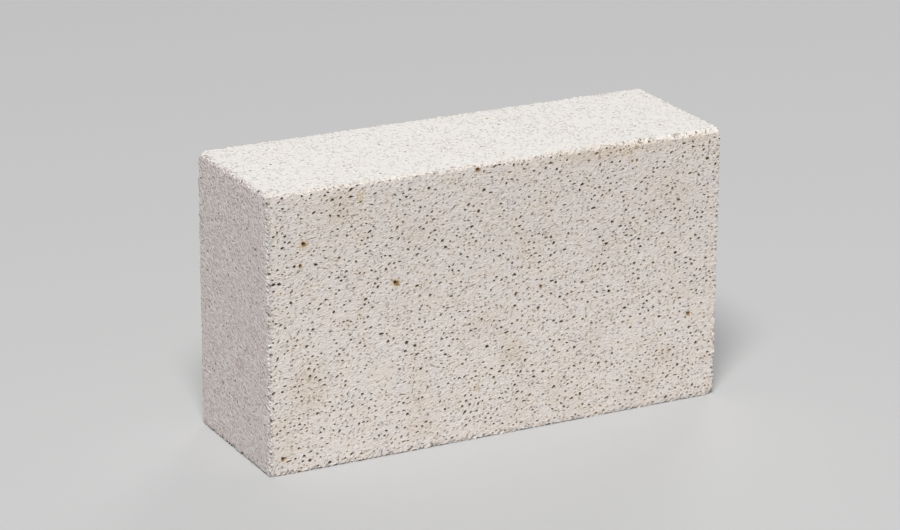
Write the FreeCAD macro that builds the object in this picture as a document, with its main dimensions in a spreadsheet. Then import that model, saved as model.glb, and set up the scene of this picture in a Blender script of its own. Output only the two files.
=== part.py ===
"""Insulating firebrick: one fired and ground block, standing on its long narrow face.

The part's frame has X along the length, Y through the thickness and Z up, with the origin at the
middle of the face that it stands on. The front is the large face at -Y, and the left end is at -X.
All twelve arrises are eased by one small radius. Each corner is then rubbed back by its own depth,
as the corners of a soft brick are after handling, and left slightly domed.
"""

import FreeCAD
import Part
import Sketcher

import itertools
import os

# Driving sizes in millimetres, except the roundness, which is a plain ratio.
SIZES = {
    "brick_length": 200.0,
    "brick_thickness": 65.0,
    "brick_height": 114.0,
    "arris_radius": 0.9,
    "rub_roundness": 6.0,
    "rub_left_front_bottom": 1.2,
    "rub_left_front_top": 1.1,
    "rub_left_back_bottom": 0.9,
    "rub_left_back_top": 2.1,
    "rub_right_front_bottom": 1.9,
    "rub_right_front_top": 1.9,
    "rub_right_back_bottom": 1.0,
    "rub_right_back_top": 0.8,
}

# Each side of the block along X, Y and Z: its name, the plane that it lies on, and which way is inwards.
X_SIDES = (("left", "-sizes.brick_length / 2", 1), ("right", "sizes.brick_length / 2", -1))
Y_SIDES = (("front", "-sizes.brick_thickness / 2", 1), ("back", "sizes.brick_thickness / 2", -1))
Z_SIDES = (("bottom", "0", 1), ("top", "sizes.brick_height", -1))


def add_size_sheet(doc):
    """A spreadsheet with one named cell for each driving size."""
    sheet = doc.addObject("Spreadsheet::Sheet", "sizes")
    for row, (alias, value) in enumerate(SIZES.items(), start=1):
        sheet.set(f"A{row}", alias)
        sheet.set(f"B{row}", str(value))
        sheet.setAlias(f"B{row}", alias)
    doc.recompute()
    return sheet


def draw_footprint(body):
    """The rectangle that the brick stands on, centred on the origin."""
    sketch = body.newObject("Sketcher::SketchObject", "footprint")
    plane = next(p for p in body.Origin.OriginFeatures if p.Role == "XY_Plane")
    sketch.AttachmentSupport = [(plane, "")]
    sketch.MapMode = "FlatFace"

    half_x = SIZES["brick_length"] / 2
    half_y = SIZES["brick_thickness"] / 2
    corners = [(-half_x, -half_y), (half_x, -half_y), (half_x, half_y), (-half_x, half_y)]
    points = [FreeCAD.Vector(x, y, 0) for x, y in corners]
    for start, end in zip(points, points[1:] + points[:1]):
        sketch.addGeometry(Part.LineSegment(start, end))

    front, right, back, left = range(4)
    start_point, end_point = 1, 2
    for side, following in ((front, right), (right, back), (back, left), (left, front)):
        join = Sketcher.Constraint("Coincident", side, end_point, following, start_point)
        sketch.addConstraint(join)
    for side in (front, back):
        sketch.addConstraint(Sketcher.Constraint("Horizontal", side))
    for side in (right, left):
        sketch.addConstraint(Sketcher.Constraint("Vertical", side))
    origin, origin_point = -1, 1
    sketch.addConstraint(
        Sketcher.Constraint("Symmetric", front, start_point, back, start_point, origin, origin_point)
    )
    for side, kind, alias in (
        (front, "DistanceX", "brick_length"),
        (right, "DistanceY", "brick_thickness"),
    ):
        size = Sketcher.Constraint(kind, side, start_point, side, end_point, SIZES[alias])
        index = sketch.addConstraint(size)
        sketch.setExpression(f"Constraints[{index}]", f"sizes.{alias}")
    return sketch


def add_ground_block(doc):
    """The block as ground to size: the footprint raised to the height, with eased arrises."""
    body = doc.addObject("PartDesign::Body", "ground_block")
    pad = body.newObject("PartDesign::Pad", "raised_block")
    pad.Profile = draw_footprint(body)
    pad.setExpression("Length", "sizes.brick_height")
    doc.recompute()

    arrises = body.newObject("PartDesign::Fillet", "eased_arrises")
    arrises.Base = (pad, [f"Edge{n + 1}" for n in range(len(pad.Shape.Edges))])
    arrises.setExpression("Radius", "sizes.arris_radius")
    body.Tip = arrises
    return body


def add_corner_waste(doc, x_side, y_side, z_side):
    """What is rubbed off one corner: a cube set in from the corner, less a ball about its inner corner.

    The ball passes the brick's corner at the rub's depth, measured along the corner's diagonal.
    """
    sides = (x_side, y_side, z_side)
    name = "_".join(side_name for side_name, _, _ in sides)
    depth = f"sizes.rub_{name}"
    radius = f"sizes.rub_roundness * {depth}"
    centre_inset = f"(1 + sizes.rub_roundness) * {depth} / sqrt(3)"

    cube = doc.addObject("Part::Box", f"cube_{name}")
    ball = doc.addObject("Part::Sphere", f"ball_{name}")
    ball.setExpression("Radius", radius)
    for axis, edge, (_, plane, inwards) in zip("xyz", ("Length", "Width", "Height"), sides):
        inner_plane = f"{plane} + {inwards} * {centre_inset}"
        lower_plane = plane if inwards > 0 else inner_plane
        cube.setExpression(edge, centre_inset)
        cube.setExpression(f"Placement.Base.{axis}", lower_plane)
        ball.setExpression(f"Placement.Base.{axis}", inner_plane)

    waste = doc.addObject("Part::Cut", f"waste_{name}")
    waste.Base = cube
    waste.Tool = ball
    return waste


def add_firebrick(doc):
    """The finished brick: the ground block with its eight corners rubbed back."""
    rubbed_off = doc.addObject("Part::MultiFuse", "rubbed_off")
    rubbed_off.Shapes = [
        add_corner_waste(doc, *sides) for sides in itertools.product(X_SIDES, Y_SIDES, Z_SIDES)
    ]
    brick = doc.addObject("Part::Cut", "firebrick")
    brick.Label = "firebrick"
    brick.Base = add_ground_block(doc)
    brick.Tool = rubbed_off
    brick.Placement = FreeCAD.Placement()
    doc.recompute()
    return brick


def check(doc, pieces):
    """Stops the build if any object failed, or a piece isn't one valid solid."""
    failed = [o.Name for o in doc.Objects if {"Invalid", "Error"} & set(o.State)]
    if failed:
        raise RuntimeError(f"these objects failed: {failed}")
    for piece in pieces:
        shape = piece.Shape
        if shape.isNull() or not shape.isValid() or len(shape.Solids) != 1:
            raise RuntimeError(f"{piece.Label} isn't one valid solid")


def main():
    doc = FreeCAD.newDocument("firebrick")
    add_size_sheet(doc)
    pieces = [add_firebrick(doc)]
    check(doc, pieces)
    os.makedirs("parts", exist_ok=True)
    for piece in pieces:
        piece.Shape.exportStep(f"parts/{piece.Label}.step")
        box = piece.Shape.optimalBoundingBox()
        print(f"{piece.Label}: {box.XLength:.2f} x {box.YLength:.2f} x {box.ZLength:.2f} mm,"
              f" {piece.Shape.Volume / 1000:.2f} cm3")


main()
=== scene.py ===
"""Looks of an insulating firebrick: one pale fired block, ground flat and full of burnt-out pores.

The block is as large as the frame's. Its arrises are crumbled and its corners rubbed, its pores and
nicks are cut as real hollows, and grain that is finer than those is bump in the clay's finish.
Its large faces are called beds, its long narrow faces sides and its small faces ends. The front is the
bed at -Y. Lengths are in metres, written as millimetres times MM, unless a comment says millimetres.
"""

import itertools
import math
import random

import bmesh
import bpy
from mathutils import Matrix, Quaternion, Vector, noise


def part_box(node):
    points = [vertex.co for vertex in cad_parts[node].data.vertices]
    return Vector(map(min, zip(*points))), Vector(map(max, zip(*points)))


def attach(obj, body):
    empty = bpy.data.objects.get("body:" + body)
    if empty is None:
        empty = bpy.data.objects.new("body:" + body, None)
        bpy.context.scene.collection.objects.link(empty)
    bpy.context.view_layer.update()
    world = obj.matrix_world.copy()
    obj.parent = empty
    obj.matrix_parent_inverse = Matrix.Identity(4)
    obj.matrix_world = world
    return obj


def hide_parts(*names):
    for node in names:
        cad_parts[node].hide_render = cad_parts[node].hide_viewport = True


MM = 0.001
SQUARE_CENTIMETRE = (10 * MM) ** 2
AXES = (Vector((1, 0, 0)), Vector((0, 1, 0)), Vector((0, 0, 1)))
HOLLOW_MARK = "hollow_tint_and_shade"

# The block's mesh: its bevelled arrises, the divided strips along them and the cells of its faces.
ARRIS_BEVEL = 0.6 * MM
ARRIS_SEGMENTS = 2
ARRIS_BORDER = 1.3 * MM
ARRIS_SPANS = 8
ARRIS_STEP = 0.72 * MM
CELL_SIZE = 22 * MM
SMOOTH_ANGLE = math.radians(14)
# How much of a whole rail's length, or of the smallest face's area, counts as a rail or as a face.
RAIL_SHARE = 0.8
FACE_SHARE = 0.5
STRAIGHT = 0.999

# The crumbling of the arrises: how far from them it reaches, how deep it eats, which value of its grain
# stays in place, and the grain's size, octaves and contrast.
CRUMBLE_REACH = 1.8 * MM
CRUMBLE_DEPTH = 1.1 * MM
CRUMBLE_REST = 0.72
CRUMBLE_GRAIN = 1.0 * MM
CRUMBLE_OCTAVES = 2
CRUMBLE_CONTRAST = 2.2

# How deep each corner is rubbed, along its diagonal, by the signs of its X, Y and Z sides.
CORNER_RUBS = {
    (-1, -1, -1): 1.2 * MM,
    (-1, -1, 1): 1.1 * MM,
    (-1, 1, -1): 0.9 * MM,
    (-1, 1, 1): 2.1 * MM,
    (1, -1, -1): 1.9 * MM,
    (1, -1, 1): 1.9 * MM,
    (1, 1, -1): 1.0 * MM,
    (1, 1, 1): 0.8 * MM,
}
# The radius of a rubbed corner, in rub depths.
RUB_ROUNDNESS = 6.0

# The worn front arris. It runs along axis 0, on the low side of Y and the high side of Z.
WORN_RUN = (0, 0, 1)
WORN_WAY = Vector((0, 1, -1))
# Millimetres from its left, and millimetres that the wear reaches there along the top and down the front.
WORN_ARRIS = ((150, 0.0), (157, 1.6), (164, 1.9), (170, 1.0), (182, 1.9), (200, 2.0))
WORN_WAVES = 5 * MM
WORN_UNEVEN = 0.2
# How far the hollows of that arris follow the wear, as a share of its reach.
WORN_FOLLOW = 0.25

# The way in which the clay was pressed. Its pores and grain lie flat across it.
PRESSED = Vector((-0.445, -0.345, 1.0)).normalized()

# Pores: how many for each square centimetre, their middle diameter, the share that is deep, and how much
# lighter their lower lips, which face up to the lamp, are painted, as a painted highlight.
PORE_KINDS = {
    "bed": {"density": 12.6, "diameter": 0.97 * MM, "deep_share": 0.75, "painted_lip_light": 0.75},
    "side": {"density": 3.2, "diameter": 0.68 * MM, "deep_share": 0.6, "painted_lip_light": 0.3},
    "end": {"density": 8.0, "diameter": 0.86 * MM, "deep_share": 0.75, "painted_lip_light": 0.5},
}
PORE_SEED = 41
PORE_DARK = 1.0
# Diameters: their spread, their limits, and those below which a pore is pointed or has few sides.
PORE_SPREAD = 0.22
PORE_SMALLEST = 0.55 * MM
PORE_LARGEST = 1.6 * MM
PORE_POINTED = 0.95 * MM
PORE_FEW_SIDED = 1.3 * MM
PORE_FEW_SIDES = 5
PORE_MANY_SIDES = 6
# Depths, as shares of a pore's short diameter, and the floor's size and drift, as shares of the mouth's.
DEEP_PORE = (0.5, 0.85)
SHALLOW_PORE = (0.3, 0.5)
PORE_DEEPEST = 0.8 * MM
FLOOR_SCALE = (0.5, 0.85)
FLOOR_DRIFT = 0.15
# Outlines: how far a corner strays round the pore and from its oval, and how the oval is drawn out.
CORNER_STRAY = 0.25
CORNER_REACH = (0.9, 1.3)
PORE_STRETCH = 0.6
PORE_LEAN_SPREAD = math.radians(25)
GROOVE_CHANCE = 0.12
GROOVE_STRETCH = (3.0, 11.0)
# Places: the room round a pore, the thick and bare patches, and the open clay near the arrises.
PORE_ROOM = 1.2
PORE_GAP = 0.12 * MM
PORE_MARGIN = 0.3 * MM
PORE_LIFT = 0.1 * MM
PATCH_SIZE = 11 * MM
PATCH_MIDDLE = 0.68
PATCH_SWING = 0.65
PATCH_SHIFT = 100
OPEN_EDGE = 3.5 * MM
OPEN_EDGE_GAIN = 0.35
TRIES_PER_PORE = 40
# Chains of pores: how often one goes on, the gap to its next pore in millimetres, and how it turns.
CHAIN_CHANCE = 0.3
CHAIN_GAP = (0.2, 0.7)
CHAIN_TURN = 0.35

# Hollows along the arrises, in millimetres: the gap between them, half their width, how far they reach on
# two faces, and how dark their walls are painted, in brown tint and painted shade.
ARRIS_HOLLOWS = {
    "spalls": {
        "gap": 8.0, "half_width": (0.8, 1.8), "short": (0.6, 1.0), "long": (1.2, 2.6), "dark": 0.3,
    },
    "scallops": {
        "gap": 0.4, "half_width": (0.5, 1.1), "short": (0.6, 1.1), "long": (1.0, 2.1), "dark": 0.25,
    },
    "nicks": {
        "gap": 2.6, "half_width": (0.3, 0.65), "short": (0.7, 1.2), "long": (1.0, 1.8), "dark": 1.0,
    },
}
ARRIS_SEED = 57
ARRIS_END_MARGIN = 3.5 * MM
ARRIS_SLANT = 0.45
# How far a hollow lies off its arris, in millimetres, how uneven it is, and how much lighter its lower lip
# is painted, as a painted highlight.
HOLLOW_OFFSET = 0.25
HOLLOW_UNEVEN = (0.8, 1.2)
HOLLOW_PAINTED_LIP_LIGHT = 0.5
# Where the next hollow may start, in half widths past the middle of the last.
HOLLOW_ROOM = 1.3

# Iron specks burnt into the front: millimetres from its left and top, size in millimetres, and the
# strengths of core, rust and halo.
IRON_SPECKS = (
    (15.3, 21.0, 1.9, 1.00, 0.80, 0.70),
    (13.8, 29.4, 1.7, 0.25, 0.80, 0.30),
    (54.1, 42.5, 2.0, 0.70, 0.90, 0.80),
    (186.5, 76.5, 1.8, 0.25, 0.85, 0.40),
    (5.5, 107.0, 1.8, 0.95, 0.90, 0.20),
    (89.6, 1.9, 1.9, 0.45, 0.90, 0.30),
    (118.1, 54.1, 1.8, 0.30, 0.70, 0.10),
    (158.8, 8.1, 1.2, 0.10, 0.50, 0.30),
)
# The pit at a speck, in speck sizes, and how it is drawn out.
PIT_DIAMETER = 0.7
PIT_DEPTH = 0.6
PIT_REACH = 0.5
PIT_STRETCH = 1.2
# Where halo, rust and core fade out, and how far core and rust lie from the middle, in speck sizes.
HALO_FADE = (0.4, 1.3)
RUST_FADE = (0.35, 0.7)
CORE_FADE = (0.2, 0.5)
CORE_ASIDE = 0.12
SPECK_DEPTH = 0.2 * MM
SPECK_WANDER = 0.8 * MM
SPECK_WANDER_GRAIN = 1.5 * MM

# Tan stains on the front, in millimetres: from its left and top, half width and half height. Then strength.
STAINS = (
    (146, 3.2, 40, 3.6, 0.55),
    (189, 2.8, 14, 2.4, 0.50),
    (17, 80, 11, 16, 0.40),
    (106, 80, 9, 7, 0.35),
    (176, 93, 7, 5, 0.40),
    (65, 105, 10, 6, 0.30),
    (30, 10, 9, 8, 0.25),
    (39.4, 5.5, 2.6, 4.4, 1.00),
    (90, 92.3, 1.7, 1.9, 1.00),
)
STAIN_DEPTH = 20 * MM
STAIN_GRAIN = 5 * MM
STAIN_FADE = (0.25, 1.1)


def colour(red, green, blue):
    return (red, green, blue, 1.0)


# Colours of the clay, its grain, its hollows and its iron.
CLAY = colour(0.727, 0.702, 0.673)
BED_TINT = colour(0.805, 0.731, 0.683)
# Painted shade for the upper part of the beds.
BED_PAINTED_SHADE = colour(0.666, 0.603, 0.562)
# The ends' tint, a little darker and pinker than the beds': partly the clay's own, partly painted shade.
END_TINT_AND_SHADE = colour(0.775, 0.680, 0.662)
BEIGE = colour(0.640, 0.540, 0.440)
TAN = colour(0.650, 0.530, 0.400)
WARM_CAST = colour(1.000, 0.982, 0.940)
COOL_CAST = colour(0.978, 0.984, 1.000)
PALE_GRAIN = colour(0.880, 0.860, 0.835)
DARK_GRAIN = colour(0.400, 0.360, 0.325)
# The hollows' walls: a brown tint, partly the clay's own and partly painted shade.
PORE_WALL_AND_SHADE = colour(0.330, 0.258, 0.180)
RUSTY_WALL_AND_SHADE = colour(0.385, 0.250, 0.120)
END_WALL_AND_SHADE = colour(0.340, 0.295, 0.275)
# Painted shade at the floors of the deep hollows.
PAINTED_PORE_SHADE = colour(0.105, 0.078, 0.050)
IRON_CORE = colour(0.030, 0.013, 0.005)
RUST = colour(0.270, 0.145, 0.055)
RUST_HALO = colour(0.620, 0.460, 0.250)
PAPER = colour(0.50, 0.50, 0.50)
WHITE = colour(1, 1, 1)

# Sizes of the clay's grains, and how the pressed ones are widened along the two flats and thinned across.
CLOUD_SIZE = 24 * MM
TINT_SIZE = 8 * MM
MOTTLE_SIZE = 2.4 * MM
FURROW_SIZE = 0.9 * MM
GRIT_SIZE = 0.6 * MM
PINHOLE_SPACING = 1.05 * MM
PINHOLE_WIDTH = 0.40
PINHOLE_RIM = (-0.1, 0.05)
FLATTENED = (1.4, 1.4, 0.8)
DRAWN_OUT = (2.6, 2.6, 0.7)

# The values of a grain between which it sets in, or dies out if it shows where the grain is low.
CLOUD_RISE = (0.48, 0.74)
WARM_RISE = (0.42, 0.68)
COOL_FALL = (0.32, 0.56)
PALE_GRIT_RISE = (0.50, 0.70)
PALE_FURROW_RISE = (0.52, 0.66)
DARK_GRIT_FALL = (0.30, 0.48)
DARK_FURROW_FALL = (0.34, 0.48)
RUSTY_RISE = (0.44, 0.62)
# How strongly it shows: on every face, and what the beds and the ends add to that.
CLOUD_SHARES = (0.10, 0.25, 0.0)
CAST_SHARES = (0.45, 0.45, 0.0)
PALE_GRIT_SHARES = (0.60, 0.0, 0.30)
PALE_FURROW_SHARES = (0.0, 0.18, 0.70)
DARK_GRIT_SHARES = (0.15, 0.10, 0.35)
DARK_FURROW_SHARES = (0.0, 0.05, 0.35)
PINHOLE_SHARES = (0.32, 0.08, 0.08)
# How high it stands in the bump, in the same order.
MOTTLE_HEIGHTS = (0.55, 0.0, 0.30)
GRIT_HEIGHTS = (0.50, 0.15, 0.50)
PINHOLE_HEIGHTS = (0.50, 0.10, 0.10)
FURROW_HEIGHTS = (0.0, 0.20, 0.90)
BUMP_DEPTH = 0.7 * MM
CLAY_ROUGHNESS = 0.92
CLAY_GLOSS = 0.2
PAPER_ROUGHNESS = 0.9

# Depths over which a face's look fades out, the arrises' look ends and the painted shade on a hollow's
# floor deepens.
FACE_FADE = (0.3 * MM, 2.0 * MM)
ARRIS_FADE = (0.5 * MM, 1.7 * MM)
PAINTED_SHADE_DEPTHS = (0.15 * MM, 0.6 * MM)
# The painted shade on the upper part of the beds, which stands in for how the light falls on them: where it
# starts and is full, in half heights above the bottom and below the top, and its strength.
PAINTED_SHADE_START = 0.35
PAINTED_SHADE_FULL = 0.2
PAINTED_SHADE_SHARE = 0.6
# Along the arrises, how pale the clay is, partly as a painted highlight, how rusty the hollows are and how
# much of their walls' tint and painted shade shows.
ARRIS_PALE_AND_HIGHLIGHT = 0.35
ARRIS_RUST = 0.8
ARRIS_WALL = 0.5
# How much of the painted shade on the hollows' floors the ends lose.
END_PAINTED_SHADE_LOSS = 0.5

# Camera and lamps.
CAMERA_TARGET = Vector((-5.28, 0.0, 62.3)) * MM
CAMERA_DISTANCE = 1370 * MM
CAMERA_AZIMUTH = math.radians(-27.48)
CAMERA_ELEVATION = math.radians(19.02)
CAMERA_ROLL = math.radians(0.24)
CAMERA_LENS = 137.2
SENSOR_WIDTH = 36.0
KEY_AZIMUTH = math.radians(-32)
KEY_ELEVATION = math.radians(56)
KEY_POWER = 425.0
FILL_AZIMUTH = math.radians(140)
FILL_ELEVATION = math.radians(15)
FILL_POWER = 95.0
LAMP_DISTANCE = 6.0
LAMP_SIZE = 2.4
SKY_STRENGTH = 0.16
FLOOR_SIZE = 8


def direction(azimuth, elevation):
    """The way from the object to what stands at that azimuth and elevation. Azimuth 0 is in front."""
    flat = math.cos(elevation)
    return Vector((math.sin(azimuth) * flat, -math.cos(azimuth) * flat, math.sin(elevation)))


def pick_only(piece):
    """Leaves one object selected and active."""
    bpy.ops.object.select_all(action="DESELECT")
    piece.select_set(True)
    bpy.context.view_layer.objects.active = piece


class Face:
    """One flat side of the block: its corner, the two directions along it and the way out."""

    def __init__(self, name, kind, corner, across, up):
        self.name = name
        self.kind = kind
        self.corner = corner
        self.width = across.length
        self.height = up.length
        self.across = across.normalized()
        self.up = up.normalized()
        self.out = self.across.cross(self.up)

    def point(self, across, up, depth):
        """The point that lies so far along the face, and so deep under it."""
        return self.corner + self.across * across + self.up * up - self.out * depth

    def to_border(self, across, up):
        """How far a place on the face is from the nearest of its four borders."""
        return min(across, up, self.width - across, self.height - up)

    def lean(self):
        """How far what lies flat in the clay leans from this face's own across."""
        return math.atan2(-PRESSED.dot(self.across), PRESSED.dot(self.up))


def block_faces(low, high):
    """The six sides of the block, the front first, each as seen upright from outside it."""
    size = high - low
    along = Vector((size.x, 0, 0))
    through = Vector((0, size.y, 0))
    upright = Vector((0, 0, size.z))
    return [
        Face("front", "bed", low, along, upright),
        Face("back", "bed", Vector((high.x, high.y, low.z)), -along, upright),
        Face("top", "side", Vector((low.x, low.y, high.z)), along, through),
        Face("bottom", "side", Vector((low.x, high.y, low.z)), along, -through),
        Face("left", "end", Vector((low.x, high.y, low.z)), -through, upright),
        Face("right", "end", Vector((high.x, low.y, low.z)), through, upright),
    ]


class Arris:
    """One edge of the block: the axis that it runs along, the two others and where it lies on those."""

    def __init__(self, low, high, axis, sides):
        corners = (low, high)
        self.axis = axis
        self.second = (axis + 1) % 3
        self.third = (axis + 2) % 3
        self.start = low[axis]
        self.end = high[axis]
        self.at_second = corners[sides[0]][self.second]
        self.at_third = corners[sides[1]][self.third]
        self.is_worn = (axis, *sides) == WORN_RUN


def block_arrises(low, high):
    """The twelve edges of the block."""
    sides_of_two = list(itertools.product((0, 1), repeat=2))
    return [Arris(low, high, axis, sides) for axis in range(3) for sides in sides_of_two]


def select_rails(mesh, axis, shortest):
    """Selects the edges that run along one axis and are longer than that."""
    edit = bmesh.from_edit_mesh(mesh)
    for part in (edit.verts, edit.edges, edit.faces):
        for element in part:
            element.select = False
    for edge in edit.edges:
        run = edge.verts[1].co - edge.verts[0].co
        if abs(run[axis]) > shortest and abs(run[axis]) > STRAIGHT * run.length:
            edge.select_set(True)
    edit.select_flush_mode()
    bmesh.update_edit_mesh(mesh)


def select_large_faces(mesh, smallest_area):
    """Selects the faces that are larger than that, and no others."""
    edit = bmesh.from_edit_mesh(mesh)
    for face in edit.faces:
        face.select_set(face.calc_area() > smallest_area)
    bmesh.update_edit_mesh(mesh)


def divide_arrises(block, size):
    """Cuts the strips along the arrises into short steps, with nothing between the strips."""
    bpy.ops.mesh.select_mode(type="EDGE")
    for axis in range(3):
        span = size[axis] / ARRIS_SPANS
        select_rails(block.data, axis, RAIL_SHARE * size[axis])
        bpy.ops.mesh.subdivide(number_cuts=ARRIS_SPANS - 1)
        select_rails(block.data, axis, RAIL_SHARE * span)
        bpy.ops.mesh.subdivide(number_cuts=round(span / ARRIS_STEP) - 1)


def cut_into_cells(low, size):
    """Cuts the whole block by planes, so that no face is much larger than a cell."""
    for axis, across in enumerate(AXES):
        cells = round(size[axis] / CELL_SIZE)
        for cell in range(1, cells):
            bpy.ops.mesh.select_all(action="SELECT")
            bpy.ops.mesh.bisect(plane_co=low + size[axis] * cell / cells * across, plane_no=across)


def add_block(low, high):
    """The block: a cube with bevelled arrises, and strips along them that are finely divided."""
    size = high - low
    bpy.ops.object.select_all(action="DESELECT")
    bpy.ops.mesh.primitive_cube_add(size=1, location=(low + high) / 2, scale=size)
    block = bpy.context.active_object
    block.name = "pitted_firebrick"
    bpy.ops.object.transform_apply(location=True, rotation=True, scale=True)

    bpy.ops.object.mode_set(mode="EDIT")
    bpy.ops.mesh.select_mode(type="EDGE")
    bpy.ops.mesh.select_all(action="SELECT")
    bpy.ops.mesh.bevel(offset=ARRIS_BEVEL, segments=ARRIS_SEGMENTS, profile=0.5, affect="EDGES")
    bpy.ops.mesh.select_mode(type="FACE")
    large = FACE_SHARE * min(size.x * size.y, size.x * size.z, size.y * size.z)
    select_large_faces(block.data, large)
    bpy.ops.mesh.inset(thickness=ARRIS_BORDER, use_individual=True)
    select_large_faces(block.data, large)
    bpy.ops.mesh.delete(type="ONLY_FACE")
    divide_arrises(block, size)
    bpy.ops.mesh.select_all(action="SELECT")
    bpy.ops.mesh.fill_holes(sides=0)
    cut_into_cells(low, size)
    bpy.ops.object.mode_set(mode="OBJECT")
    return block


def rub_corners(block, low, high):
    """Brings what stands out at each corner back to a ball that passes the corner at the rub's depth."""
    middle = (low + high) / 2
    half = (high - low) / 2
    for signs, depth in CORNER_RUBS.items():
        radius = RUB_ROUNDNESS * depth
        inset = (1 + RUB_ROUNDNESS) * depth / math.sqrt(3)
        centre = Vector(middle[axis] + signs[axis] * (half[axis] - inset) for axis in range(3))
        for vertex in block.data.vertices:
            away = vertex.co - centre
            outside = all(away[axis] * signs[axis] > 0 for axis in range(3))
            if outside and away.length > radius:
                vertex.co = centre + away.normalized() * radius


def worn_reach(along):
    """How far the wear of the front's upper arris reaches, both in millimetres, so far from its left."""
    for (start, first), (end, last) in itertools.pairwise(WORN_ARRIS):
        if start <= along <= end:
            return first + (last - first) * (along - start) / (end - start)
    return 0.0


def wear_front_arris(block, low, high):
    """Wears the front's upper arris back to an uneven slope."""
    for vertex in block.data.vertices:
        reach = worn_reach((vertex.co.x - low.x) / MM) * MM
        reach *= 1 + WORN_UNEVEN * noise.noise(vertex.co / WORN_WAVES)
        missing = reach - (vertex.co.y - low.y) - (high.z - vertex.co.z)
        if missing > 0:
            vertex.co += WORN_WAY * missing / 2


def arris_weight(point, low, high):
    """1 at an arris, and 0 where its crumbling ends."""
    to_faces = sorted(min(point[axis] - low[axis], high[axis] - point[axis]) for axis in range(3))
    return max(0.0, 1 - to_faces[1] / CRUMBLE_REACH)


def crumble_arrises(block, low, high):
    """Eats unevenly into the arrises, and not at all into the faces between them."""
    arrises = block.vertex_groups.new(name="arrises")
    for vertex in block.data.vertices:
        weight = arris_weight(vertex.co, low, high)
        if weight > 0:
            arrises.add([vertex.index], weight, "REPLACE")
    grain = bpy.data.textures.new("crumble", "CLOUDS")
    grain.noise_scale = CRUMBLE_GRAIN
    grain.noise_depth = CRUMBLE_OCTAVES
    grain.contrast = CRUMBLE_CONTRAST
    crumble = block.modifiers.new("crumble", "DISPLACE")
    crumble.texture = grain
    crumble.texture_coords = "LOCAL"
    crumble.vertex_group = arrises.name
    crumble.mid_level = CRUMBLE_REST
    crumble.strength = CRUMBLE_DEPTH
    pick_only(block)
    bpy.ops.object.modifier_apply(modifier=crumble.name)
    block.vertex_groups.clear()
    # What the grain raised is brought back into the block's box.
    for vertex in block.data.vertices:
        vertex.co = [min(max(vertex.co[axis], low[axis]), high[axis]) for axis in range(3)]


def mark_hollow(mesh, dark, painted_lip_light=0.0):
    """Notes on each face how dark it is painted as the wall of a hollow, in brown tint and painted shade,
    which the cuts carry into the block.

    The lower lip of a hollow, which is the underside of the shell that cuts it and faces up to the lamp,
    gets
    less of that: a painted highlight.
    """
    marks = mesh.attributes.new(HOLLOW_MARK, "FLOAT", "FACE")
    for mark, face in zip(marks.data, mesh.polygons):
        mark.value = dark * (1 - painted_lip_light * max(0.0, -face.normal.z))


class Hollows:
    """Closed shells that are cut from the block, gathered into one mesh."""

    def __init__(self, name, dark, painted_lip_light):
        self.name = name
        self.dark = dark
        self.painted_lip_light = painted_lip_light
        self.points = []
        self.faces = []

    def add(self, points, faces):
        start = len(self.points)
        self.points.extend(points)
        self.faces.extend([start + index for index in face] for face in faces)

    def cut_from(self, block):
        """Cuts the shells out of the block and removes them."""
        mesh = bpy.data.meshes.new(self.name)
        mesh.from_pydata(self.points, [], self.faces)
        mark_hollow(mesh, self.dark, self.painted_lip_light)
        shells = bpy.data.objects.new(self.name, mesh)
        bpy.context.scene.collection.objects.link(shells)
        pick_only(block)
        cut = block.modifiers.new(self.name, "BOOLEAN")
        cut.operation = "DIFFERENCE"
        cut.solver = "MANIFOLD"
        cut.object = shells
        bpy.ops.object.modifier_apply(modifier=cut.name)
        bpy.data.objects.remove(shells)
        bpy.data.meshes.remove(mesh)


def ball_template():
    """The points and faces of a low ball, from which the arrises' hollows are made."""
    bpy.ops.object.select_all(action="DESELECT")
    bpy.ops.mesh.primitive_ico_sphere_add(subdivisions=1, radius=1)
    ball = bpy.context.active_object
    points = [vertex.co.copy() for vertex in ball.data.vertices]
    faces = [list(face.vertices) for face in ball.data.polygons]
    bpy.data.objects.remove(ball)
    return points, faces


def arris_hollow(arris, kind, draw, place, half_width, ball_points):
    """The points of one hollow: an uneven, slanted ball about the arris."""
    reach = [draw.uniform(*kind["short"]) * MM, draw.uniform(*kind["long"]) * MM]
    draw.shuffle(reach)
    centre = Vector((0, 0, 0))
    centre[arris.axis] = place
    centre[arris.second] = arris.at_second + draw.uniform(-HOLLOW_OFFSET, HOLLOW_OFFSET) * MM
    centre[arris.third] = arris.at_third + draw.uniform(-HOLLOW_OFFSET, HOLLOW_OFFSET) * MM
    if arris.is_worn:
        centre += WORN_WAY * worn_reach((place - arris.start) / MM) * WORN_FOLLOW * MM
    points = []
    for point in ball_points:
        uneven = draw.uniform(*HOLLOW_UNEVEN)
        moved = Vector((0, 0, 0))
        for axis, size in zip((arris.axis, arris.second, arris.third), (half_width, *reach)):
            moved[axis] = point[axis] * size * uneven
        moved[arris.axis] += ARRIS_SLANT * (moved[arris.third] - moved[arris.second])
        points.append(centre + moved)
    return points


def cut_arrises(block, low, high):
    """Knocks spalls, then shallow scallops and a few dark nicks out of all twelve arrises."""
    draw = random.Random(ARRIS_SEED)
    ball_points, ball_faces = ball_template()
    arrises = block_arrises(low, high)
    for name, kind in ARRIS_HOLLOWS.items():
        hollows = Hollows(name, kind["dark"], HOLLOW_PAINTED_LIP_LIGHT)
        for arris in arrises:
            place = arris.start + ARRIS_END_MARGIN + draw.uniform(0, kind["gap"]) * MM
            while place < arris.end - ARRIS_END_MARGIN:
                half_width = draw.uniform(*kind["half_width"]) * MM
                place += half_width
                hollows.add(arris_hollow(arris, kind, draw, place, half_width, ball_points), ball_faces)
                place += half_width * HOLLOW_ROOM + draw.expovariate(1 / kind["gap"]) * MM
        hollows.cut_from(block)


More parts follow.
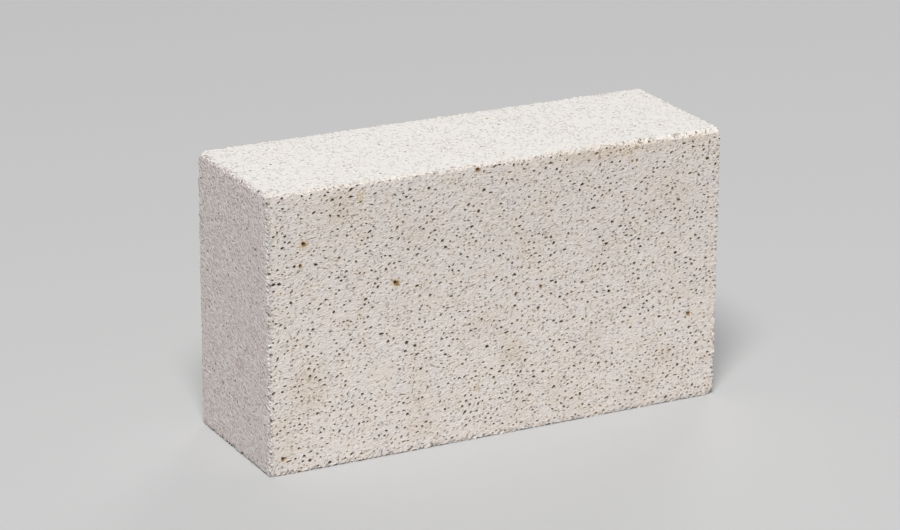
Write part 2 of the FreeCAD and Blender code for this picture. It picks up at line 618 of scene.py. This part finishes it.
class TakenPlaces:
    """The places on a face that pores already hold, sorted into squares so that they are found fast."""

    def __init__(self, square):
        self.square = square
        self.squares = {}

    def square_of(self, across, up):
        return int(across / self.square), int(up / self.square)

    def take(self, across, up, reach):
        self.squares.setdefault(self.square_of(across, up), []).append((across, up, reach))

    def has_room(self, across, up, reach):
        """Whether a pore that reaches so far about that place stays clear of all the others."""
        column, row = self.square_of(across, up)
        near = itertools.chain.from_iterable(
            self.squares.get((column + i, row + j), [])
            for i, j in itertools.product((-1, 0, 1), repeat=2)
        )
        return all(math.hypot(across - a, up - u) >= reach + r + PORE_GAP for a, u, r in near)


def speck_pits(face, taken):
    """The pits in which the iron specks of the front lie."""
    pits = []
    for across, down, size, *_ in IRON_SPECKS:
        place = (across * MM, face.height - down * MM)
        pits.append((*place, PIT_DIAMETER * size * MM, PIT_STRETCH, face.lean(), PIT_DEPTH * size * MM))
        taken.take(*place, PIT_REACH * size * MM)
    return pits


def draw_form(face, kind, draw):
    """A pore's diameter, how far it is drawn out, and how it leans. Some are drawn out to grooves."""
    diameter = kind["diameter"] * math.exp(draw.gauss(0, PORE_SPREAD))
    diameter = min(max(diameter, PORE_SMALLEST), PORE_LARGEST)
    stretch = 1 + PORE_STRETCH * abs(draw.gauss(0, 1))
    if draw.random() < GROOVE_CHANCE:
        stretch = draw.uniform(*GROOVE_STRETCH)
    return diameter, stretch, draw.gauss(face.lean(), PORE_LEAN_SPREAD)


def draw_place(face, draw, shift):
    """A place for a pore, or None where the clay has a bare patch."""
    across = draw.uniform(0, face.width)
    up = draw.uniform(0, face.height)
    thick = PATCH_MIDDLE + PATCH_SWING * noise.noise(shift + Vector((across, up, 0)) / PATCH_SIZE)
    if face.to_border(across, up) < OPEN_EDGE:
        thick += OPEN_EDGE_GAIN
    return (across, up) if draw.random() <= thick else None


def next_in_chain(chain, draw, reach):
    """The place of a pore that goes on from another, about in the direction in which that one leans."""
    across, up, lean, last_reach = chain
    step = last_reach + reach + draw.uniform(*CHAIN_GAP) * MM
    heading = lean + draw.gauss(0, CHAIN_TURN)
    return across + math.cos(heading) * step, up + math.sin(heading) * step


def scatter_pores(face, draw):
    """One face's pores, in thick and bare patches, with none running into another.

    Each is its place across and up, its diameter, stretch, lean and depth.
    """
    kind = PORE_KINDS[face.kind]
    count = round(kind["density"] * face.width * face.height / SQUARE_CENTIMETRE)
    shift = Vector([draw.uniform(0, PATCH_SHIFT) for _ in range(3)])
    taken = TakenPlaces(2 * PORE_LARGEST)
    pores = speck_pits(face, taken) if face.name == "front" else []
    chain = None
    tries = 0
    while len(pores) < count and tries < TRIES_PER_PORE * count:
        tries += 1
        diameter, stretch, lean = draw_form(face, kind, draw)
        reach = diameter / 2 * math.sqrt(stretch) * PORE_ROOM
        place = next_in_chain(chain, draw, reach) if chain else draw_place(face, draw, shift)
        chain = None
        if place is None or face.to_border(*place) <= PORE_MARGIN or not taken.has_room(*place, reach):
            continue
        taken.take(*place, reach)
        depths = DEEP_PORE if draw.random() < kind["deep_share"] else SHALLOW_PORE
        depth = min(diameter / math.sqrt(stretch) * draw.uniform(*depths), PORE_DEEPEST)
        pores.append((*place, diameter, stretch, lean, depth))
        if draw.random() < CHAIN_CHANCE:
            chain = (*place, lean, reach)
    return pores


def pore_outline(draw, sides, diameter, stretch, lean):
    """An uneven oval, drawn out along its lean."""
    long_radius = diameter / 2 * math.sqrt(stretch)
    short_radius = diameter / 2 / math.sqrt(stretch)
    outline = []
    start = draw.uniform(0, math.tau)
    for corner in range(sides):
        angle = start + math.tau * (corner + draw.uniform(-CORNER_STRAY, CORNER_STRAY)) / sides
        reach = draw.uniform(*CORNER_REACH)
        x = math.cos(angle) * long_radius * reach
        y = math.sin(angle) * short_radius * reach
        outline.append((x * math.cos(lean) - y * math.sin(lean), x * math.sin(lean) + y * math.cos(lean)))
    return outline


def pore_shell(face, draw, across, up, diameter, stretch, lean, depth):
    """One pore: an uneven outline at the surface, drawn in to a floor, or to a point if it is small."""
    sides = PORE_FEW_SIDES if diameter < PORE_FEW_SIDED else PORE_MANY_SIDES
    pointed = diameter < PORE_POINTED
    floor_scale = 0.0 if pointed else draw.uniform(*FLOOR_SCALE)
    rim_scale = 1 + (1 - floor_scale) * PORE_LIFT / depth
    drift = draw.uniform(-FLOOR_DRIFT, FLOOR_DRIFT) * diameter
    outline = pore_outline(draw, sides, diameter, stretch, lean)
    points = [face.point(across + x * rim_scale, up + y * rim_scale, -PORE_LIFT) for x, y in outline]
    faces = [list(range(sides))]
    if pointed:
        points.append(face.point(across + drift, up + drift, depth))
        faces += [[corner, sides, (corner + 1) % sides] for corner in range(sides)]
        return points, faces
    points += [
        face.point(across + x * floor_scale + drift, up + y * floor_scale + drift, depth)
        for x, y in outline
    ]
    faces.append(list(range(2 * sides - 1, sides - 1, -1)))
    for corner in range(sides):
        following = (corner + 1) % sides
        faces.append([corner, corner + sides, following + sides, following])
    return points, faces


def cut_pores(block, faces):
    """Cuts the pores of all six faces, one kind of face after the other."""
    draw = random.Random(PORE_SEED)
    for kind in PORE_KINDS:
        hollows = Hollows(f"{kind}_pores", PORE_DARK, PORE_KINDS[kind]["painted_lip_light"])
        for face in faces:
            if face.kind == kind:
                for pore in scatter_pores(face, draw):
                    hollows.add(*pore_shell(face, draw, *pore))
        hollows.cut_from(block)


class Value:
    """A number that changes over a surface. Arithmetic on it adds Math nodes to its finish."""

    def __init__(self, finish, socket):
        self.finish = finish
        self.socket = socket

    def combine(self, operation, first, second=0.0):
        return self.finish.value("ShaderNodeMath", {"operation": operation}, {0: first, 1: second})

    def __add__(self, other):
        return self.combine("ADD", self, other)

    __radd__ = __add__

    def __sub__(self, other):
        return self.combine("SUBTRACT", self, other)

    def __rsub__(self, other):
        return self.combine("SUBTRACT", other, self)

    def __mul__(self, other):
        return self.combine("MULTIPLY", self, other)

    __rmul__ = __mul__

    def __abs__(self):
        return self.combine("ABSOLUTE", self)

    def lower_of(self, other):
        return self.combine("MINIMUM", self, other)

    def higher_of(self, other):
        return self.combine("MAXIMUM", self, other)

    def rise(self, start, end):
        """0 up to start, 1 from end on, and smooth between them."""
        return self.finish.value(
            "ShaderNodeMapRange",
            {"interpolation_type": "SMOOTHSTEP"},
            {"Value": self, "From Min": start, "From Max": end},
        )

    def fall(self, start, end):
        """1 up to start, 0 from end on, and smooth between them."""
        return 1 - self.rise(start, end)


class Finish:
    """A material and the nodes that make its look."""

    def __init__(self, name):
        self.material = bpy.data.materials.new(name)
        self.material.use_nodes = True
        self.tree = self.material.node_tree
        self.tree.nodes.clear()

    def node(self, kind, settings=None, sockets=None):
        """Adds a node, with its settings set first and then the values or links of its sockets."""
        node = self.tree.nodes.new(kind)
        for name, setting in (settings or {}).items():
            setattr(node, name, setting)
        for key, given in (sockets or {}).items():
            if isinstance(key, int):
                socket = node.inputs[key]
            else:
                socket = next(s for s in node.inputs if key in (s.identifier, s.name))
            if isinstance(given, Value):
                given = given.socket
            if isinstance(given, bpy.types.NodeSocket):
                self.tree.links.new(given, socket)
            else:
                socket.default_value = given
        return node

    def value(self, kind, settings=None, sockets=None):
        """The first output of a new node, as a number."""
        return Value(self, self.node(kind, settings, sockets).outputs[0])

    def grain(self, place, size, detail, roughness):
        """Noise from 0 to 1 whose lumps are about that large."""
        return self.value(
            "ShaderNodeTexNoise",
            {},
            {"Vector": place, "Scale": 1 / size, "Detail": detail, "Roughness": roughness},
        )

    def fitted(self, place, sockets):
        """The coordinates of a pattern that is put, turned and sized as those sockets of a Mapping say."""
        mapping = self.node("ShaderNodeMapping", {"vector_type": "TEXTURE"}, {"Vector": place, **sockets})
        return mapping.outputs[0]

    def distance(self, place, point):
        """How far each place is from one point."""
        gap = self.node("ShaderNodeVectorMath", {"operation": "DISTANCE"}, {0: place, 1: point})
        return Value(self, gap.outputs["Value"])

    def blend(self, share, first, second, way="MIX"):
        """The first colour where the share is 0, and the second, or their product, where it is 1."""
        mix = self.node(
            "ShaderNodeMix",
            {"data_type": "RGBA", "blend_type": way},
            {"Factor_Float": share, "A_Color": first, "B_Color": second},
        )
        return next(socket for socket in mix.outputs if socket.identifier == "Result_Color")

    def shaded(self, sockets):
        """The material, with a Principled shader that has those values and links."""
        shader = self.node("ShaderNodeBsdfPrincipled", {}, sockets)
        self.node("ShaderNodeOutputMaterial", {}, {"Surface": shader.outputs["BSDF"]})
        return self.material


class Whereabouts:
    """Where in the block a point of its surface lies: how deep, on which face, and how near to an arris."""

    def __init__(self, clay, place, low, high):
        axes = clay.node("ShaderNodeSeparateXYZ", {}, {"Vector": place})
        middle = (low + high) / 2
        half = (high - low) / 2
        to_end, to_bed, to_side = [
            half[axis] - abs(Value(clay, axes.outputs[axis]) - middle[axis]) for axis in range(3)
        ]
        to_end_or_bed = to_end.lower_of(to_bed)
        to_arris = to_end_or_bed.higher_of(to_end.higher_of(to_bed).lower_of(to_side))
        # The painted shade of the beds rises with height, from where it starts to where it is full.
        painted_shade_rise = (low.z + PAINTED_SHADE_START * half.z, high.z - PAINTED_SHADE_FULL * half.z)
        self.depth = to_end_or_bed.lower_of(to_side)
        self.on_bed = to_bed.fall(*FACE_FADE)
        self.on_end = to_end.fall(*FACE_FADE)
        self.off_arris = to_arris.rise(*ARRIS_FADE)
        self.painted_shade_rise = Value(clay, axes.outputs["Z"]).rise(*painted_shade_rise)

    def share(self, shares):
        """A strength, from that on every face and what the beds and the ends add to it."""
        everywhere, bed, end = shares
        return everywhere + bed * self.on_bed + end * self.on_end


class Grains:
    """The grains of the clay, from its clouds down to its pinholes. Most lie flat as it was pressed."""

    def __init__(self, clay, place):
        turn = PRESSED.to_track_quat("Z", "Y").to_euler()
        flattened = clay.fitted(place, {"Rotation": turn, "Scale": FLATTENED})
        drawn_out = clay.fitted(place, {"Rotation": turn, "Scale": DRAWN_OUT})
        cells = clay.node("ShaderNodeTexVoronoi", {}, {"Vector": flattened, "Scale": 1 / PINHOLE_SPACING})
        to_cell = Value(clay, cells.outputs["Distance"])
        cell_size = clay.value("ShaderNodeSeparateColor", {}, {"Color": cells.outputs["Color"]})
        self.clouds = clay.grain(place, CLOUD_SIZE, detail=3.0, roughness=0.55)
        self.tint = clay.grain(place, TINT_SIZE, detail=4.0, roughness=0.65)
        self.furrows = clay.grain(drawn_out, FURROW_SIZE, detail=1.0, roughness=0.5)
        self.mottle = clay.grain(flattened, MOTTLE_SIZE, detail=2.0, roughness=0.6)
        self.grit = clay.grain(flattened, GRIT_SIZE, detail=2.0, roughness=0.65)
        self.pinholes = (to_cell - PINHOLE_WIDTH * cell_size).fall(*PINHOLE_RIM)


def ground_clay(clay, where, grains):
    """The bare clay: each kind of face in its own tint, that of the ends partly painted shade, the beds
    darkened towards their top with painted shade, and beige clouds and a warm or cool cast.
    """
    surface = clay.blend(where.on_end, CLAY, END_TINT_AND_SHADE)
    surface = clay.blend(where.on_bed, surface, BED_TINT)
    # Painted shade: the beds' colour darkens towards their top, standing in for how the light falls on
    # them.
    surface = clay.blend(where.painted_shade_rise * where.on_bed * PAINTED_SHADE_SHARE, surface, BED_PAINTED_SHADE)
    surface = clay.blend(grains.clouds.rise(*CLOUD_RISE) * where.share(CLOUD_SHARES), surface, BEIGE)
    cast = where.share(CAST_SHARES)
    surface = clay.blend(grains.tint.rise(*WARM_RISE) * cast, surface, WARM_CAST, "MULTIPLY")
    return clay.blend(grains.tint.fall(*COOL_FALL) * cast, surface, COOL_CAST, "MULTIPLY")


def tan_stains(clay, place, surface, front):
    """Cloudy tan stains on the front, each an oval that fades out unevenly."""
    ragged = clay.grain(place, STAIN_GRAIN, detail=3.0, roughness=0.6)
    for across, down, half_width, half_height, strength in STAINS:
        centre = front.point(across * MM, front.height - down * MM, 0)
        size = (half_width * MM, STAIN_DEPTH, half_height * MM)
        oval = clay.fitted(place, {"Location": centre, "Scale": size})
        reach = clay.distance(oval, (0, 0, 0)) + ragged - 0.5
        surface = clay.blend(reach.fall(*STAIN_FADE) * strength, surface, TAN)
    return surface


def grainy_clay(clay, where, grains, surface):
    """Pale and dark grains in the clay, and the paler clay of the arrises, partly a painted highlight along
    them.
    """
    pale_grit = grains.grit.rise(*PALE_GRIT_RISE) * where.share(PALE_GRIT_SHARES)
    pale_furrows = grains.furrows.rise(*PALE_FURROW_RISE) * where.share(PALE_FURROW_SHARES)
    dark_grit = grains.grit.fall(*DARK_GRIT_FALL) * where.share(DARK_GRIT_SHARES)
    dark_furrows = grains.furrows.fall(*DARK_FURROW_FALL) * where.share(DARK_FURROW_SHARES)
    surface = clay.blend(pale_grit, surface, PALE_GRAIN)
    surface = clay.blend(pale_furrows, surface, PALE_GRAIN)
    surface = clay.blend(dark_grit, surface, DARK_GRAIN)
    surface = clay.blend(dark_furrows, surface, DARK_GRAIN)
    # The arrises are painted paler: partly fresh clay, partly a painted highlight.
    return clay.blend((1 - where.off_arris) * ARRIS_PALE_AND_HIGHLIGHT, surface, PALE_GRAIN)


def pitted_clay(clay, where, grains, surface):
    """Pinholes and cut hollows: their walls, brown, rusty in places and darkened with painted shade, and
    painted shade on the floors of the deep ones.
    """
    # The mark that the cuts carry says how much of the walls' brown tint and painted shade a face takes.
    marks = clay.node("ShaderNodeAttribute", {"attribute_name": HOLLOW_MARK})
    hollow_tint_and_shade = Value(clay, marks.outputs["Fac"])
    rusty = grains.tint.rise(*RUSTY_RISE).higher_of(ARRIS_RUST - ARRIS_RUST * where.off_arris)
    wall_and_shade = clay.blend(rusty, PORE_WALL_AND_SHADE, RUSTY_WALL_AND_SHADE)
    wall_and_shade = clay.blend(where.on_end, wall_and_shade, END_WALL_AND_SHADE)
    # Pinholes get the walls' brown tint and painted shade, as small dark pits.
    surface = clay.blend(grains.pinholes * where.share(PINHOLE_SHARES), surface, wall_and_shade)
    # The hollows' walls take their brown tint and painted shade, less of it along the arrises.
    surface = clay.blend(hollow_tint_and_shade * (ARRIS_WALL + (1 - ARRIS_WALL) * where.off_arris), surface, wall_and_shade)
    # Painted shade: the deeper a hollow's wall lies under the face, the darker it is painted.
    painted_depth_shade = hollow_tint_and_shade * where.depth.rise(*PAINTED_SHADE_DEPTHS) * where.off_arris * (1 - END_PAINTED_SHADE_LOSS * where.on_end)
    return clay.blend(painted_depth_shade, surface, PAINTED_PORE_SHADE)


def iron_stains(clay, place, surface, front):
    """Burns the iron specks into the front: a black core to one side of rust, which fades to tan."""
    wander = clay.node(
        "ShaderNodeTexNoise", {}, {"Vector": place, "Scale": 1 / SPECK_WANDER_GRAIN, "Detail": 2.0}
    )
    shift = clay.node(
        "ShaderNodeVectorMath",
        {"operation": "MULTIPLY_ADD"},
        {0: wander.outputs["Color"], 1: (2 * SPECK_WANDER,) * 3, 2: (-SPECK_WANDER,) * 3},
    )
    bent = clay.node("ShaderNodeVectorMath", {"operation": "ADD"}, {0: place, 1: shift.outputs[0]})
    for across, down, size, core, rust, halo in IRON_SPECKS:
        size = size * MM
        spot = front.point(across * MM, front.height - down * MM, SPECK_DEPTH)
        aside = (front.across - front.up) * (CORE_ASIDE * size)
        to_rust = clay.distance(bent.outputs[0], spot + aside)
        to_core = clay.distance(bent.outputs[0], spot - aside)
        halo_fade, rust_fade, core_fade = [
            (start * size, end * size) for start, end in (HALO_FADE, RUST_FADE, CORE_FADE)
        ]
        surface = clay.blend(to_rust.fall(*halo_fade) * halo, surface, RUST_HALO)
        surface = clay.blend(to_rust.fall(*rust_fade) * rust, surface, RUST)
        surface = clay.blend(to_core.fall(*core_fade) * core, surface, IRON_CORE)
    return surface


def clay_bump(clay, where, grains):
    """The relief of the grain that is too fine to be cut, as a normal."""
    height = grains.mottle * where.share(MOTTLE_HEIGHTS) + grains.grit * where.share(GRIT_HEIGHTS)
    height = height - grains.pinholes * where.share(PINHOLE_HEIGHTS)
    height = height + grains.furrows * where.share(FURROW_HEIGHTS)
    bump = clay.node("ShaderNodeBump", {}, {"Strength": 1.0, "Distance": BUMP_DEPTH, "Height": height})
    return bump.outputs["Normal"]


def fired_clay(low, high, front):
    """The brick's finish, on the block's own coordinates."""
    clay = Finish("fired_clay")
    place = clay.node("ShaderNodeTexCoord").outputs["Object"]
    where = Whereabouts(clay, place, low, high)
    grains = Grains(clay, place)
    surface = ground_clay(clay, where, grains)
    surface = tan_stains(clay, place, surface, front)
    surface = grainy_clay(clay, where, grains, surface)
    surface = pitted_clay(clay, where, grains, surface)
    surface = iron_stains(clay, place, surface, front)
    return clay.shaded({
        "Base Color": surface,
        "Roughness": CLAY_ROUGHNESS,
        "Specular IOR Level": CLAY_GLOSS,
        "Normal": clay_bump(clay, where, grains),
    })


def add_firebrick():
    low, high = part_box("firebrick")
    faces = block_faces(low, high)
    block = add_block(low, high)
    rub_corners(block, low, high)
    wear_front_arris(block, low, high)
    crumble_arrises(block, low, high)
    mark_hollow(block.data, 0.0)
    cut_arrises(block, low, high)
    cut_pores(block, faces)
    block.data.materials.clear()
    block.data.materials.append(fired_clay(low, high, faces[0]))
    pick_only(block)
    bpy.ops.object.shade_smooth_by_angle(angle=SMOOTH_ANGLE)
    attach(block, "root")
    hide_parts("firebrick")


def add_floor():
    bpy.ops.object.select_all(action="DESELECT")
    bpy.ops.mesh.primitive_plane_add(size=FLOOR_SIZE)
    floor = bpy.context.active_object
    floor.name = "floor"
    paper = Finish("pale_paper")
    floor.data.materials.append(paper.shaded({"Base Color": PAPER, "Roughness": PAPER_ROUGHNESS}))


def add_lamp(name, azimuth, elevation, power):
    """A round soft lamp that faces the brick."""
    bpy.ops.object.light_add(type="AREA")
    lamp = bpy.context.active_object
    lamp.name = name
    lamp.data.shape = "DISK"
    lamp.data.size = LAMP_SIZE
    lamp.data.energy = power
    toward = direction(azimuth, elevation)
    lamp.location = CAMERA_TARGET + toward * LAMP_DISTANCE
    lamp.rotation_euler = toward.to_track_quat("Z", "Y").to_euler()


def add_lights():
    """A key lamp to the left of the camera, a low fill from behind, and a dim white sky."""
    add_lamp("key_light", KEY_AZIMUTH, KEY_ELEVATION, KEY_POWER)
    add_lamp("fill_light", FILL_AZIMUTH, FILL_ELEVATION, FILL_POWER)
    sky = bpy.data.worlds.new("studio")
    sky.use_nodes = True
    background = sky.node_tree.nodes["Background"]
    background.inputs["Color"].default_value = WHITE
    background.inputs["Strength"].default_value = SKY_STRENGTH
    bpy.context.scene.world = sky


def add_camera():
    bpy.ops.object.camera_add()
    camera = bpy.context.active_object
    camera.name = "camera"
    camera.data.sensor_width = SENSOR_WIDTH
    camera.data.lens = CAMERA_LENS
    toward = direction(CAMERA_AZIMUTH, CAMERA_ELEVATION)
    camera.location = CAMERA_TARGET + toward * CAMERA_DISTANCE
    turn = toward.to_track_quat("Z", "Y") @ Quaternion((0, 0, 1), CAMERA_ROLL)
    camera.rotation_euler = turn.to_euler()
    bpy.context.scene.camera = camera


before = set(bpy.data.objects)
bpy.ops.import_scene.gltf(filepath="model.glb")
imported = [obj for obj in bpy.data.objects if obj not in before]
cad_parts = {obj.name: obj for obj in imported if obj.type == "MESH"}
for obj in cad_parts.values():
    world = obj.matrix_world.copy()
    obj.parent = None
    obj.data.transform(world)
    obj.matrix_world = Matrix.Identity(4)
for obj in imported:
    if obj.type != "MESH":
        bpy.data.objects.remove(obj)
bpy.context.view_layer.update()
add_firebrick()
add_floor()
add_lights()
add_camera()
bpy.context.scene.view_settings.view_transform = "Standard"
